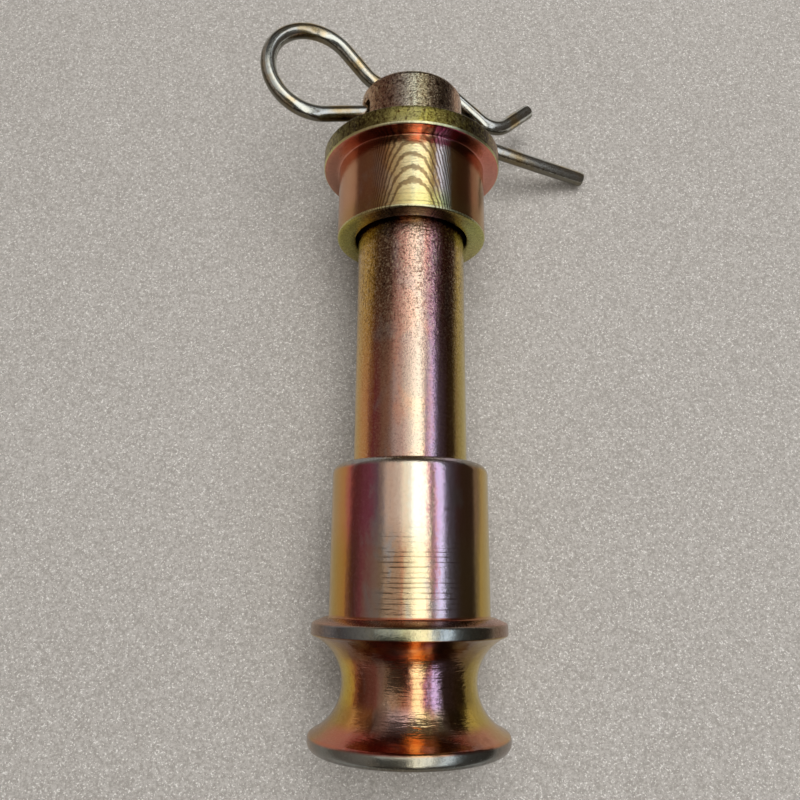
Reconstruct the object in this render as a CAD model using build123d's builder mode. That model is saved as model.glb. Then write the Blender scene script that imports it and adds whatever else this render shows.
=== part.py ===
"""Drawbar hitch pin with a sliding flanged bush and a wire R-clip.

The pin lies on its side with its axis along +Y, the grip towards -Y and the drilled
tip towards +Y. The origin is the centre of the shoulder face that seats on the bar.
Lengths are in millimetres and +Z is up.
"""

import os
from math import asin, atan, atan2, cos, degrees, hypot, radians, sin

from build123d import *

# Pin, from the tip down to the grip
shaft_diameter = 25.4
shaft_length = 127.0            # shoulder face to tip
tip_chamfer = 1.2
collar_step = 4.6               # collar radius over shaft radius
collar_length = 32.4
collar_edge_radius = 2.2
shoulder_width = 3.6            # flange radius over collar radius
shoulder_land = 1.0             # flat ring beside the collar
shoulder_fall = 1.1             # from the flat ring down to the flange's rim
flange_thickness = 3.5
flange_edge_radius = 0.6
flange_back_radius = 0.5        # where the flange meets the hollow
grip_length = 19.2              # flange underside to head rim
grip_waist_diameter = 28.5
head_diameter = 41.9
head_thickness = 3.2
head_edge_radius = 2.0
head_lip_radius = 1.0           # where the head meets the hollow

# Cross hole near the tip
cross_hole_diameter = 6.35
hole_to_tip = 6.2
hole_edge_break = 0.4

# Flanged bush, loose on the shaft
bush_clearance = 1.4            # bore diameter over shaft diameter
bush_contact_gap = 0.02         # left where the bore rests against the shaft
bush_wall = 4.4
bush_length = 22.9
bush_flange_width = 3.8
bush_flange_thickness = 4.7
bush_root_radius = 0.3
bush_flange_break = 0.5
bush_end_break = 0.5
bore_break = 0.6
bush_setback = 10.8             # flange face of the bush to the cross hole

# R-clip, bent from one length of spring wire
wire_diameter = 3.8
wire_end_break = 0.4
cross_hole_play = 0.29          # play that the leaning leg leaves in the cross hole
clip_seat_gap = 0.5             # outer leg over the end of the pin
eye_side_gap = 0.3              # eye beside the shaft, measured along the straight leg
leg_reach = 38.4                # straight leg beyond the shaft
heel_inset = 5.3                # start of the heel, inside the shaft surface
heel_radius = 7.2
eye_radius = 11.4               # bend radii are those of the wire's centre line
eye_rise = 5.5
neck_offset = 8.3               # neck from the hole axis, towards the eye
neck_radius = 8.1
arch_offset = 6.6               # arch from the hole axis, towards the free end
arch_rise = 5.3
arch_radius = 8.4
waist_gap = 9.4                 # waist beyond the shaft
waist_drop = 0.9                # waist below the neck, towards the straight leg
waist_radius = 6.7
flare_angle = 47.0
flare_length = 9.2

# Sizes that follow from those above
shaft_radius = shaft_diameter / 2
collar_radius = shaft_radius + collar_step
flange_radius = collar_radius + shoulder_width
head_radius = head_diameter / 2
waist_of_grip = grip_waist_diameter / 2
wire_radius = wire_diameter / 2
underside = -flange_thickness
rim_top = underside - grip_length
head_end = rim_top - head_thickness
hole_y = shaft_length - hole_to_tip

# The straight leg leans in its oversize hole, and the pin is rolled until the leg's
# free end meets the surface that the flange lies on.
clip_lean = atan((cross_hole_diameter - wire_diameter - cross_hole_play) / shaft_diameter)
leg_end = shaft_radius + leg_reach
leg_run = leg_end * cos(clip_lean)
clip_roll = asin(flange_radius / hypot(leg_run, wire_radius)) - atan2(wire_radius, leg_run)
hole_direction = Vector(cos(clip_roll), 0, -sin(clip_roll))
clip_normal = Vector(sin(clip_roll), 0, cos(clip_roll))
leg_direction = hole_direction * cos(clip_lean) - Vector(0, sin(clip_lean), 0)
clip_plane = Plane(origin=(0, hole_y, 0), x_dir=leg_direction, z_dir=clip_normal)


def crossing_heading(centre_a, radius_a, centre_b, radius_b, turn):
    """Heading in degrees of the line that leaves bend a and crosses over to bend b.

    turn is 1 when bend a is counter-clockwise and -1 when it is clockwise.
    """
    across = centre_b - centre_a
    lean = asin((radius_a + radius_b) / across.length)
    return degrees(atan2(across.Y, across.X) + turn * lean)


# Grip, flange, collar, shaft and tip are turned from one bar.
with BuildPart() as pin:
    with BuildSketch(Plane.XY) as pin_profile:
        with BuildLine():
            foot = Polyline((0, head_end), (head_radius, head_end), (head_radius, rim_top))
            hollow = ThreePointArc(
                foot @ 1,
                (waist_of_grip, (rim_top + underside) / 2),
                (flange_radius, underside),
            )
            Polyline(
                hollow @ 1,
                (flange_radius, -shoulder_fall),
                (collar_radius + shoulder_land, 0),
                (collar_radius, 0),
                (collar_radius, collar_length),
                (shaft_radius, collar_length),
                (shaft_radius, shaft_length),
                (0, shaft_length),
                (0, head_end),
            )
        make_face()
        for corner, corner_radius in (
            ((head_radius, head_end), head_edge_radius),
            ((head_radius, rim_top), head_lip_radius),
            ((flange_radius, underside), flange_back_radius),
            ((flange_radius, -shoulder_fall), flange_edge_radius),
            ((collar_radius, collar_length), collar_edge_radius),
        ):
            fillet(pin_profile.vertices().sort_by_distance(corner)[0], corner_radius)
        tip_corner = pin_profile.vertices().sort_by_distance((shaft_radius, shaft_length))[0]
        chamfer(tip_corner, tip_chamfer)
    revolve(axis=Axis.Y)
    with Locations(Plane(origin=(0, hole_y, 0), z_dir=hole_direction)):
        Hole(radius=cross_hole_diameter / 2)
    hole_wall = pin.faces().filter_by(GeomType.CYLINDER).sort_by(SortBy.RADIUS)[0]
    fillet(hole_wall.edges().filter_by(GeomType.LINE, reverse=True), hole_edge_break)
pin.part.label = "pin"

# The bush lies on its flange, so its bore rests against the underside of the shaft.
bore_radius = shaft_radius + bush_clearance / 2
barrel_radius = bore_radius + bush_wall
bush_flange_radius = barrel_radius + bush_flange_width
bush_face = hole_y - bush_setback
bush_back = bush_face - bush_flange_thickness
bush_end = bush_face - bush_length
bush_lift = bush_clearance / 2 - bush_contact_gap

with BuildPart() as flanged_bush:
    with BuildSketch(Plane.XY.offset(bush_lift)) as bush_profile:
        with BuildLine():
            Polyline(
                (bore_radius, bush_end),
                (barrel_radius, bush_end),
                (barrel_radius, bush_back),
                (bush_flange_radius, bush_back),
                (bush_flange_radius, bush_face),
                (bore_radius, bush_face),
                close=True,
            )
        make_face()
        bush_root = bush_profile.vertices().sort_by_distance((barrel_radius, bush_back, bush_lift))[0]
        fillet(bush_root, bush_root_radius)
        flange_rim = bush_profile.vertices().group_by(Axis.X)[-1]
        fillet(flange_rim, bush_flange_break)
        barrel_end = bush_profile.vertices().sort_by_distance((barrel_radius, bush_end, bush_lift))[0]
        chamfer(barrel_end, bush_end_break)
        bore_mouths = bush_profile.vertices().group_by(Axis.X)[0]
        chamfer(bore_mouths, bore_break)
    revolve(axis=Axis((0, 0, bush_lift), (0, 1, 0)))
flanged_bush.part.label = "flanged_bush"

# Heel, eye, neck, arch and waist are tangent bends with straight wire between them.
# Each height is counted from the centre line of the straight leg.
end_at_neck = (hole_to_tip - neck_offset * sin(clip_lean)) / cos(clip_lean)
neck_rise = end_at_neck + wire_radius + clip_seat_gap
eye_offset = shaft_radius + eye_side_gap + wire_radius + eye_radius

bends = [
    (Vector(heel_inset - shaft_radius, -heel_radius), heel_radius, 1),
    (Vector(-eye_offset, eye_rise), eye_radius, -1),
    (Vector(-neck_offset, neck_rise + neck_radius), neck_radius, 1),
    (Vector(arch_offset, neck_rise + arch_rise - arch_radius), arch_radius, -1),
    (Vector(shaft_radius + waist_gap, neck_rise - waist_drop + waist_radius), waist_radius, 1),
]
headings = [180.0]
for near, far in zip(bends, bends[1:]):
    headings.append(crossing_heading(near[0], near[1], far[0], far[1], near[2]))
headings.append(flare_angle)

with BuildPart() as r_clip:
    with BuildLine(clip_plane) as wire_line:
        here = Vector(leg_end, 0)
        for (centre, radius, turn), arriving, leaving in zip(bends, headings, headings[1:]):
            start_angle = arriving - 90 * turn
            swept = turn * ((turn * (leaving - arriving)) % 360)
            start = centre + Vector(radius, 0).rotate(Axis.Z, start_angle)
            Line(tuple(here), tuple(start))
            CenterArc(tuple(centre), radius, start_angle, swept)
            here = centre + Vector(radius, 0).rotate(Axis.Z, start_angle + swept)
        Line(tuple(here), tuple(here + Vector(flare_length, 0).rotate(Axis.Z, flare_angle)))
    free_end = clip_plane.from_local_coords((leg_end, 0, 0))
    with BuildSketch(Plane(origin=free_end, z_dir=-leg_direction)):
        Circle(wire_radius)
    sweep()
    wire_ends = r_clip.faces().filter_by(GeomType.PLANE)
    chamfer(wire_ends.edges(), wire_end_break)
r_clip.part.label = "r_clip"

os.makedirs("parts", exist_ok=True)
export_step(pin.part, "parts/pin.step")
export_step(flanged_bush.part, "parts/flanged_bush.step")
export_step(r_clip.part, "parts/r_clip.step")
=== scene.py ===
"""The looks of a drawbar hitch pin with a loose flanged bush and a wire R-clip.

The pin lies on its side along Y with its drilled tip towards +Y. All sizes in this file
are in millimetres and are turned into metres where a mesh, lamp or camera is made.
"""

import logging
from collections.abc import Callable
from dataclasses import dataclass, field
from enum import Enum
from functools import partial, reduce
from math import asin, atan, atan2, ceil, cos, degrees, hypot, pi, radians, sin, tan

import bmesh
import bpy
from mathutils import Matrix, Vector


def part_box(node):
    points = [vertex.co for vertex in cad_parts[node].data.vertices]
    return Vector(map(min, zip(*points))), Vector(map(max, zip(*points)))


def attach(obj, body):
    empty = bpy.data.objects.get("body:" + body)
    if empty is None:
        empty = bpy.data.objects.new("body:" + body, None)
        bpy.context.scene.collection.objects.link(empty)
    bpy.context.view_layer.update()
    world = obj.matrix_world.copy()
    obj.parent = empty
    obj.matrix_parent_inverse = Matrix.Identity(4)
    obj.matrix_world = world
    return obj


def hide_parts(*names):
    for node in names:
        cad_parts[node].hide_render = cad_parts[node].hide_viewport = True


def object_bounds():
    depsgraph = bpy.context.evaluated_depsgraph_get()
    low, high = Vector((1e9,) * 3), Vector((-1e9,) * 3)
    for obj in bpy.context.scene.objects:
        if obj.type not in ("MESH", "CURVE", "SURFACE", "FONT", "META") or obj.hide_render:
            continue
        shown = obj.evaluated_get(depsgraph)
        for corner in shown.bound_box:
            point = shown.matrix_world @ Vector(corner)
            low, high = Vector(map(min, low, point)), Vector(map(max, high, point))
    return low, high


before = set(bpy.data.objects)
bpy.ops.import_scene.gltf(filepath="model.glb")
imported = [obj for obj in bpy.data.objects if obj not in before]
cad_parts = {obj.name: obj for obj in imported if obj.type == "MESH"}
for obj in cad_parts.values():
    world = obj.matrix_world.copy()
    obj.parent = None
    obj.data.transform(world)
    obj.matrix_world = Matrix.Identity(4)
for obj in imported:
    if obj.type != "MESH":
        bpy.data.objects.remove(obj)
cad_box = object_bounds()

LOG = logging.getLogger("hitch_pin")
MM = 0.001
FULL_TURN = 2 * pi
SAME_POINT = 0.002  # points this close are merged
NEAR_POINT = 0.01  # a profile's corner is found within this distance
CREASE = 32.0  # degrees past which an edge stays sharp
FACING = 0.9  # least dot product of a normal that points a given way
UNDER_EDGES = (0.10, 0.90)  # bearings where the plain underside ends and starts

Triple = tuple[float, float, float]
Colour = Triple
Range = tuple[float, float]
Bands = tuple[tuple[float, Colour], ...]
Socket = bpy.types.NodeSocket
Source = Socket | float


class Element(Enum):
    """What is picked in a mesh, by the name of its list there."""

    POINT = "verts"
    FACE = "faces"


class Along(Enum):
    """Which way a noise is drawn out on a turned surface."""

    AXIS = "axis"
    ROUND = "round"


# ----------------------------------------------------------------------------------------
# Mesh tools
# ----------------------------------------------------------------------------------------


def start_from(primitive: Callable[..., object], name: str, **sizes: object) -> bpy.types.Object:
    """Adds a primitive on its own and goes into edit mode with all of it selected.

    Args:
        primitive: The operator that adds it.
        name: Name of the new piece.
        **sizes: What the operator takes, in metres and radians.

    Returns:
        The new object, at the origin, with its place in its mesh.
    """
    bpy.ops.object.select_all(action="DESELECT")
    primitive(**sizes)
    work = bpy.context.object
    bpy.ops.object.transform_apply(location=True, rotation=True, scale=True)
    work.name = name
    work.data.name = name
    bpy.ops.object.mode_set(mode="EDIT")
    bpy.ops.mesh.select_mode(type="VERT")
    bpy.ops.mesh.select_all(action="SELECT")
    return work


def pick(work: bpy.types.Object, element: Element, test: Callable[..., bool]) -> None:
    """Selects the points or faces of a mesh in edit mode that pass a test.

    Args:
        work: The object being edited.
        element: What is picked.
        test: Says whether one of them is wanted.
    """
    edit = bmesh.from_edit_mesh(work.data)
    for item in getattr(edit, element.value):
        item.select_set(test(item))
    edit.select_flush_mode()
    bmesh.update_edit_mesh(work.data)


def finish_mesh(work: bpy.types.Object, crease: float = CREASE) -> None:
    """Merges doubles, points the faces outwards and shades the mesh smooth up to an angle.

    Args:
        work: The object being edited; it is left in object mode and selected.
        crease: The angle in degrees past which an edge stays sharp.
    """
    bpy.ops.mesh.select_all(action="SELECT")
    bpy.ops.mesh.remove_doubles(threshold=SAME_POINT * MM)
    bpy.ops.mesh.select_all(action="SELECT")
    bpy.ops.mesh.normals_make_consistent(inside=False)
    bpy.ops.object.mode_set(mode="OBJECT")
    bpy.ops.object.shade_smooth_by_angle(angle=radians(crease))


@dataclass(frozen=True)
class Corner:
    """A corner of a turned profile that the tool rounded off, by its tangent length."""

    radius: float
    along: float
    size: float
    segments: int = 7


class Lathe:
    """Draws half of a turned profile point by point, then spins it about the work's axis.

    The profile starts as a plane of start_size that is merged into one point.
    """

    start_size = 0.1

    def __init__(self, name: str, radius: float, along: float, axis_height: float = 0.0) -> None:
        """Starts the profile at a point.

        Args:
            name: Name of the turned piece.
            radius: Distance of the first point from the axis.
            along: Place of the first point along the axis.
            axis_height: Height of the axis over the origin.
        """
        self.axis_height = axis_height
        self.here = self.point(radius, along)
        self.work = start_from(
            bpy.ops.mesh.primitive_plane_add,
            name,
            size=self.start_size * MM,
            location=self.here * MM,
        )
        bpy.ops.mesh.merge(type="CENTER")

    def point(self, radius: float, along: float) -> Vector:
        """Gives a point of the profile's plane."""
        return Vector((radius, along, self.axis_height))

    def cut(self, radius: float, along: float, pitch: float = 0.0) -> None:
        """Runs the profile straight to a point.

        Args:
            radius: Distance of the point from the axis.
            along: Place of the point along the axis.
            pitch: Longest step on the way; 0 goes there in one.
        """
        there = self.point(radius, along)
        way = there - self.here
        steps = max(1, ceil(way.length / pitch)) if pitch else 1
        for _ in range(steps):
            bpy.ops.mesh.extrude_vertices_move(
                TRANSFORM_OT_translate={"value": tuple(way / steps * MM)}
            )
        self.here = there

    def cut_hollow(self, radius: float, along: float, depth_radius: float, steps: int) -> None:
        """Runs the profile along less than half a circle that is deepest half-way.

        Args:
            radius: Distance of the arc's far end from the axis.
            along: Place of the arc's far end along the axis.
            depth_radius: Distance of the arc's deepest point from the axis.
            steps: Number of steps in the arc.
        """
        there = self.point(radius, along)
        chord = there - self.here
        middle = (there + self.here) / 2
        inward = Vector((-chord.y, chord.x, 0)).normalized()
        if inward.x > 0:
            inward.negate()
        rise = (middle.x - depth_radius) / -inward.x
        curve = (chord.length**2 / 4 + rise**2) / (2 * rise)
        centre = middle - inward * (curve - rise)
        swept = 2 * asin(chord.length / 2 / curve)
        clockwise = (self.here - centre).cross(inward).z < 0
        bpy.ops.mesh.spin(
            steps=steps,
            angle=swept if clockwise else -swept,
            center=tuple(centre * MM),
            axis=(0, 0, 1),
        )
        self.here = there

    def close(self) -> None:
        """Joins the profile's last point to its first."""
        bpy.ops.mesh.select_all(action="SELECT")
        bpy.ops.mesh.remove_doubles(threshold=NEAR_POINT * MM)

    def round_off(self, *corners: Corner) -> None:
        """Rounds or bevels corners of the profile.

        Args:
            *corners: The corners, each some way off its neighbours.
        """
        for corner in corners:
            spot = self.point(corner.radius, corner.along)
            pick(
                self.work,
                Element.POINT,
                lambda point, spot=spot: (point.co / MM - spot).length < NEAR_POINT,
            )
            bpy.ops.mesh.bevel(
                offset=corner.size * MM,
                offset_type="OFFSET",
                segments=corner.segments,
                profile=0.5,
                affect="VERTICES",
                clamp_overlap=False,
            )

    def turn(self, divisions: int) -> bpy.types.Object:
        """Spins the profile into the finished piece.

        Args:
            divisions: Number of steps round the axis.

        Returns:
            The turned piece, in object mode.
        """
        bpy.ops.mesh.select_all(action="SELECT")
        bpy.ops.mesh.spin(
            steps=divisions,
            angle=FULL_TURN,
            use_auto_merge=True,
            center=(0, 0, self.axis_height * MM),
            axis=(0, 1, 0),
        )
        finish_mesh(self.work)
        return self.work


# ----------------------------------------------------------------------------------------
# Material tools
# ----------------------------------------------------------------------------------------


def paint(red: int, green: int, blue: int) -> Colour:
    """Turns display values from 0 to 255 into the linear values that a shader takes."""
    shares = (value / 255 for value in (red, green, blue))
    return tuple(s / 12.92 if s <= 0.04045 else ((s + 0.055) / 1.055) ** 2.4 for s in shares)


@dataclass(frozen=True)
class Noise:
    """A noise: patches per millimetre, finer layers and their share, stir, and its stretch."""

    scale: float
    detail: float = 2.0
    roughness: float = 0.5
    distortion: float = 0.0
    stretch: float = 1.0
    way: Along = Along.AXIS


class Graph:
    """The node tree of one material, with a method for each kind of node that it takes."""

    def __init__(self, name: str) -> None:
        """Makes the material and its shader.

        Args:
            name: Name of the material.
        """
        self.material = bpy.data.materials.new(name)
        self.material.use_nodes = True
        self.tree = self.material.node_tree
        self.tree.nodes.clear()
        self.shader = self.node("ShaderNodeBsdfPrincipled")
        output = self.node("ShaderNodeOutputMaterial")
        self.tree.links.new(self.shader.outputs["BSDF"], output.inputs["Surface"])

    def node(self, kind: str, **settings: object) -> bpy.types.Node:
        """Adds a node.

        Args:
            kind: Its type.
            **settings: Its options.

        Returns:
            The node.
        """
        made = self.tree.nodes.new(kind)
        for option, value in settings.items():
            setattr(made, option, value)
        return made

    def feed(self, socket: Socket, source: object) -> None:
        """Links a socket to another, or sets it.

        Args:
            socket: The input.
            source: An output, number, colour or vector.
        """
        if isinstance(source, bpy.types.NodeSocket):
            self.tree.links.new(source, socket)
        elif socket.type == "RGBA":
            socket.default_value = (*source, 1.0)
        else:
            socket.default_value = source

    def math(self, operation: str, *sources: Source, clamp: bool = False) -> Socket:
        """Works on one to three numbers.

        Args:
            operation: Name of the operation.
            *sources: Sockets or numbers.
            clamp: Keeps the result from 0 to 1.

        Returns:
            The result's socket.
        """
        made = self.node("ShaderNodeMath", operation=operation, use_clamp=clamp)
        for socket, source in zip(made.inputs, sources):
            self.feed(socket, source)
        return made.outputs[0]

    def total(self, *sources: Source) -> Socket:
        """Adds up sockets and numbers."""
        return reduce(partial(self.math, "ADD"), sources)

    def product(self, *sources: Source) -> Socket:
        """Multiplies sockets and numbers."""
        return reduce(partial(self.math, "MULTIPLY"), sources)

    def swing(self, source: Socket, reach: float) -> Socket:
        """Takes a 0 to 1 pattern to one that swings by reach each side of nought."""
        return self.product(self.math("SUBTRACT", source, 0.5), reach * 2)

    def wave(self, source: Socket, pitch: float) -> Socket:
        """Gives a wave that comes back once in every pitch."""
        return self.math("SINE", self.product(source, FULL_TURN / pitch))

    def vector(self, operation: str, vector: Socket, other: Triple) -> Socket:
        """Works on a vector.

        Args:
            operation: Name of the operation.
            vector: The vector's socket.
            other: What it is added to or multiplied by.

        Returns:
            The result's socket, a number for a dot product and a vector otherwise.
        """
        made = self.node("ShaderNodeVectorMath", operation=operation)
        self.feed(made.inputs[0], vector)
        self.feed(made.inputs[1], other)
        return made.outputs["Value" if operation == "DOT_PRODUCT" else "Vector"]

    def place(self) -> Socket:
        """Gives the place on the piece, in millimetres."""
        coordinates = self.node("ShaderNodeTexCoord").outputs["Object"]
        return self.vector("MULTIPLY", coordinates, (1 / MM, 1 / MM, 1 / MM))

    def step(self, source: Socket, low: float, high: float) -> Socket:
        """Rises smoothly from 0 to 1, or falls where low is above high.

        Args:
            source: The number that is read.
            low: Where the result is 0.
            high: Where the result is 1.

        Returns:
            The result's socket.
        """
        made = self.node("ShaderNodeMapRange", interpolation_type="SMOOTHSTEP")
        falling = low > high
        for name, value in (
            ("Value", source),
            ("From Min", min(low, high)),
            ("From Max", max(low, high)),
            ("To Min", 1.0 if falling else 0.0),
            ("To Max", 0.0 if falling else 1.0),
        ):
            self.feed(made.inputs[name], value)
        return made.outputs["Result"]

    def band(self, source: Socket, low: float, high: float, soft: float) -> Socket:
        """Is 1 between low and high and fades out over soft on both sides."""
        return self.product(
            self.step(source, low - soft, low), self.step(source, high + soft, high)
        )

    def noise(self, place: Socket, kind: Noise) -> Socket:
        """Adds a noise.

        Args:
            place: Where it is read.
            kind: What it is like; its stretch is left to the place.

        Returns:
            The noise, about 0.3 to 0.7 and 0.5 on average.
        """
        made = self.node("ShaderNodeTexNoise")
        for name, value in (
            ("Vector", place),
            ("Scale", kind.scale),
            ("Detail", kind.detail),
            ("Roughness", kind.roughness),
            ("Distortion", kind.distortion),
        ):
            self.feed(made.inputs[name], value)
        return made.outputs["Fac"]

    def mix(self, share: Source, first: object, second: object, blend: str = "MIX") -> Socket:
        """Blends two colours.

        Args:
            share: How much of the second colour.
            first: Colour or socket.
            second: Colour or socket.
            blend: Name of the blend.

        Returns:
            The colour's socket.
        """
        made = self.node("ShaderNodeMix", data_type="RGBA", blend_type=blend)
        # A mix of colours takes them in its inputs 6 and 7 and gives the result in output 2.
        for place, source in ((0, share), (6, first), (7, second)):
            self.feed(made.inputs[place], source)
        return made.outputs[2]

    def ramp(self, source: Socket, bands: Bands) -> Socket:
        """Turns a number into a colour.

        Args:
            source: The number, from 0 to 1.
            bands: Places and their colours, in rising order.

        Returns:
            The colour's socket.
        """
        made = self.node("ShaderNodeValToRGB")
        points = made.color_ramp.elements
        while len(points) < len(bands):
            points.new(0.5)
        for point, (place, colour) in zip(points, bands):
            point.position = place
            point.color = (*colour, 1.0)
        self.feed(made.inputs[0], source)
        return made.outputs[0]

    def relief(self, *layers: tuple[Socket, float]) -> Socket:
        """Lays reliefs one over the other.

        Args:
            *layers: Each relief, from 0 to 1, and how high 1 stands in millimetres.

        Returns:
            The normal's socket.
        """
        normal = None
        for height, depth in layers:
            made = self.node("ShaderNodeBump")
            self.feed(made.inputs["Strength"], 1.0)
            self.feed(made.inputs["Distance"], depth * MM)
            self.feed(made.inputs["Height"], height)
            if normal is not None:
                self.feed(made.inputs["Normal"], normal)
            normal = made.outputs["Normal"]
        return normal

    def shade(self, inputs: dict[str, object]) -> bpy.types.Material:
        """Feeds the shader.

        Args:
            inputs: Names of its sockets and what they take.

        Returns:
            The finished material.
        """
        for name, source in inputs.items():
            self.feed(self.shader.inputs[name], source)
        return self.material


class TurnedPlace:
    """Where a point lies on a turned piece: its place along the axis and its bearing.

    The bearing runs from 0 to 1 round the work, with 0.5 on top.
    """

    def __init__(self, graph: Graph, axis_height: float) -> None:
        """Works the place out from Object coordinates.

        Args:
            graph: The material's graph.
            axis_height: Height of the turned axis over the origin.
        """
        self.graph = graph
        self.point = graph.vector("ADD", graph.place(), (0, 0, -axis_height))
        parts = graph.node("ShaderNodeSeparateXYZ")
        graph.feed(parts.inputs[0], self.point)
        across, self.along, up = parts.outputs
        bearing = graph.math("ARCTAN2", across, up)
        self.bearing = graph.math("MULTIPLY_ADD", bearing, 1 / FULL_TURN, 0.5)

    def noise(self, kind: Noise) -> Socket:
        """Adds a noise that is drawn out along the axis or round it.

        Args:
            kind: What the noise is like.

        Returns:
            The noise's socket.
        """
        thin = 1 / kind.stretch
        scales = (1, thin, 1) if kind.way is Along.AXIS else (thin, 1, thin)
        return self.graph.noise(self.graph.vector("MULTIPLY", self.point, scales), kind)


# ----------------------------------------------------------------------------------------
# Finishes
# ----------------------------------------------------------------------------------------


def all_round(under: tuple[int, int, int], *stops: tuple[float, int, int, int]) -> Bands:
    """Closes a run of film colours with painted highlights and shade on the underside.

    Args:
        under: Colour of the underside, from 0 to 255.
        *stops: Places from 0.25 on the -X side, over the top at 0.5, to 0.75 on the +X
            side, each with its colour.

    Returns:
        The run once round the work, which starts and ends on the underside.
    """
    near, far = UNDER_EDGES
    over = ((place, paint(*colour)) for place, *colour in stops)
    return ((near, paint(*under)), *over, (far, paint(*under)))


@dataclass(frozen=True)
class FilmZone:
    """One turned surface, from its start along the work to the start of the next.

    The look of a zone comes in over soft millimetres each side of its start. Its bands are
    film colours with painted highlights and painted shade by bearing. All numbers after soft
    are shares: how much of a mark the zone has.
    """

    start: float
    bands: Bands
    roughness: float = 0.2
    soft: float = 0.12
    speckle: float = 0.3
    brushed: float = 0.3
    flecks: float = 0.0
    grooves: float = 0.0
    chatter: float = 0.0
    worn: float = 0.2


# Film colours round the work as they show over the steel, with painted highlights and
# painted shade at the bearings where the lamps and the dark flags reflect: place, red,
# green and blue.
UNDERSIDE = (208, 178, 112)
HEAD_FACE = all_round((186, 168, 120))
HEAD_RIM = all_round(
    (150, 128, 100),
    (0.28, 150, 124, 100), (0.36, 140, 138, 132), (0.44, 176, 182, 178), (0.5, 196, 190, 168),
    (0.56, 180, 190, 188), (0.63, 140, 142, 138), (0.72, 150, 128, 112),
)
HEAD_EDGE = all_round(
    (110, 96, 78),
    (0.3, 110, 96, 78), (0.4, 84, 80, 74), (0.5, 106, 98, 80), (0.6, 84, 84, 80),
    (0.7, 110, 96, 80),
)
SPOOL_FOOT = all_round(
    UNDERSIDE,
    (0.25, 160, 124, 76), (0.31, 190, 144, 84), (0.35, 216, 140, 106), (0.39, 214, 130, 110),
    (0.42, 176, 84, 70), (0.46, 170, 80, 66), (0.49, 160, 80, 54), (0.505, 226, 160, 96),
    (0.54, 222, 156, 96), (0.57, 150, 70, 54), (0.61, 160, 96, 72), (0.65, 216, 150, 116),
    (0.7, 206, 166, 96), (0.75, 176, 140, 84),
)
SPOOL_LOW = all_round(
    UNDERSIDE,
    (0.27, 160, 130, 66), (0.33, 190, 156, 76), (0.362, 200, 146, 72), (0.385, 240, 172, 96),
    (0.405, 214, 140, 84), (0.435, 136, 92, 68), (0.455, 206, 154, 136), (0.475, 228, 180, 170),
    (0.492, 236, 188, 178), (0.505, 240, 192, 164), (0.52, 255, 224, 170), (0.535, 250, 214, 156),
    (0.548, 196, 150, 112), (0.56, 206, 184, 150), (0.5725, 200, 172, 150), (0.59, 120, 90, 60),
    (0.61, 112, 90, 50), (0.632, 232, 198, 94), (0.66, 206, 178, 84), (0.7, 206, 180, 84),
    (0.75, 170, 146, 76),
)
SPOOL_WAIST = all_round(
    UNDERSIDE,
    (0.27, 160, 134, 60), (0.33, 214, 184, 70), (0.362, 226, 170, 66), (0.38, 176, 100, 56),
    (0.395, 146, 84, 62), (0.425, 200, 128, 112), (0.45, 226, 182, 148), (0.475, 190, 140, 106),
    (0.492, 170, 104, 78), (0.502, 206, 140, 108), (0.514, 246, 206, 150), (0.532, 244, 206, 152),
    (0.542, 176, 106, 106), (0.555, 220, 182, 216), (0.57, 206, 176, 206), (0.583, 150, 120, 120),
    (0.61, 140, 106, 76), (0.635, 130, 104, 56), (0.66, 196, 170, 72), (0.7, 200, 178, 80),
    (0.75, 170, 146, 76),
)
SPOOL_TOP = all_round(
    UNDERSIDE,
    (0.27, 176, 150, 80), (0.34, 190, 152, 70), (0.38, 130, 84, 50), (0.475, 116, 64, 44),
    (0.495, 206, 130, 70), (0.53, 220, 144, 78), (0.553, 116, 72, 54), (0.62, 124, 94, 56),
    (0.665, 180, 150, 70), (0.72, 186, 160, 80),
)
FLANGE_RIM = all_round(
    (150, 128, 100),
    (0.3, 150, 118, 88), (0.35, 130, 110, 100), (0.39, 140, 146, 156), (0.44, 176, 186, 186),
    (0.49, 206, 204, 160), (0.52, 226, 214, 168), (0.55, 188, 204, 208), (0.6, 150, 156, 146),
    (0.66, 140, 112, 90), (0.72, 160, 122, 100),
)
SHOULDER = all_round(
    (180, 150, 104),
    (0.3, 190, 146, 110), (0.37, 196, 144, 116), (0.42, 150, 104, 76), (0.5, 156, 104, 66),
    (0.57, 130, 88, 62), (0.64, 150, 100, 76), (0.7, 196, 140, 116),
)
COLLAR = all_round(
    UNDERSIDE,
    (0.25, 180, 156, 104), (0.31, 206, 166, 96), (0.345, 222, 156, 90), (0.37, 220, 120, 110),
    (0.382, 170, 92, 96), (0.395, 176, 96, 106), (0.415, 196, 112, 140), (0.435, 176, 140, 160),
    (0.452, 216, 190, 180), (0.468, 244, 206, 180), (0.485, 255, 224, 200), (0.498, 255, 236, 206),
    (0.515, 255, 255, 240), (0.53, 255, 244, 222), (0.542, 226, 170, 170), (0.553, 226, 190, 226),
    (0.572, 222, 208, 236), (0.59, 190, 150, 156), (0.61, 170, 130, 110), (0.645, 150, 120, 80),
    (0.665, 206, 168, 84), (0.7, 210, 180, 98), (0.75, 186, 168, 108),
)
COLLAR_LOW = all_round(
    UNDERSIDE,
    (0.25, 176, 152, 92), (0.32, 200, 164, 70), (0.362, 214, 150, 72), (0.374, 170, 110, 70),
    (0.388, 150, 96, 90), (0.405, 196, 116, 124), (0.43, 206, 176, 160), (0.455, 206, 176, 146),
    (0.475, 210, 168, 132), (0.49, 214, 156, 118), (0.503, 240, 214, 170), (0.525, 248, 238, 196),
    (0.537, 226, 180, 160), (0.547, 206, 150, 160), (0.556, 226, 212, 240), (0.575, 214, 206, 226),
    (0.59, 176, 160, 160), (0.61, 170, 146, 120), (0.64, 150, 124, 70), (0.66, 206, 170, 80),
    (0.7, 206, 182, 96), (0.75, 180, 166, 96),
)
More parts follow.
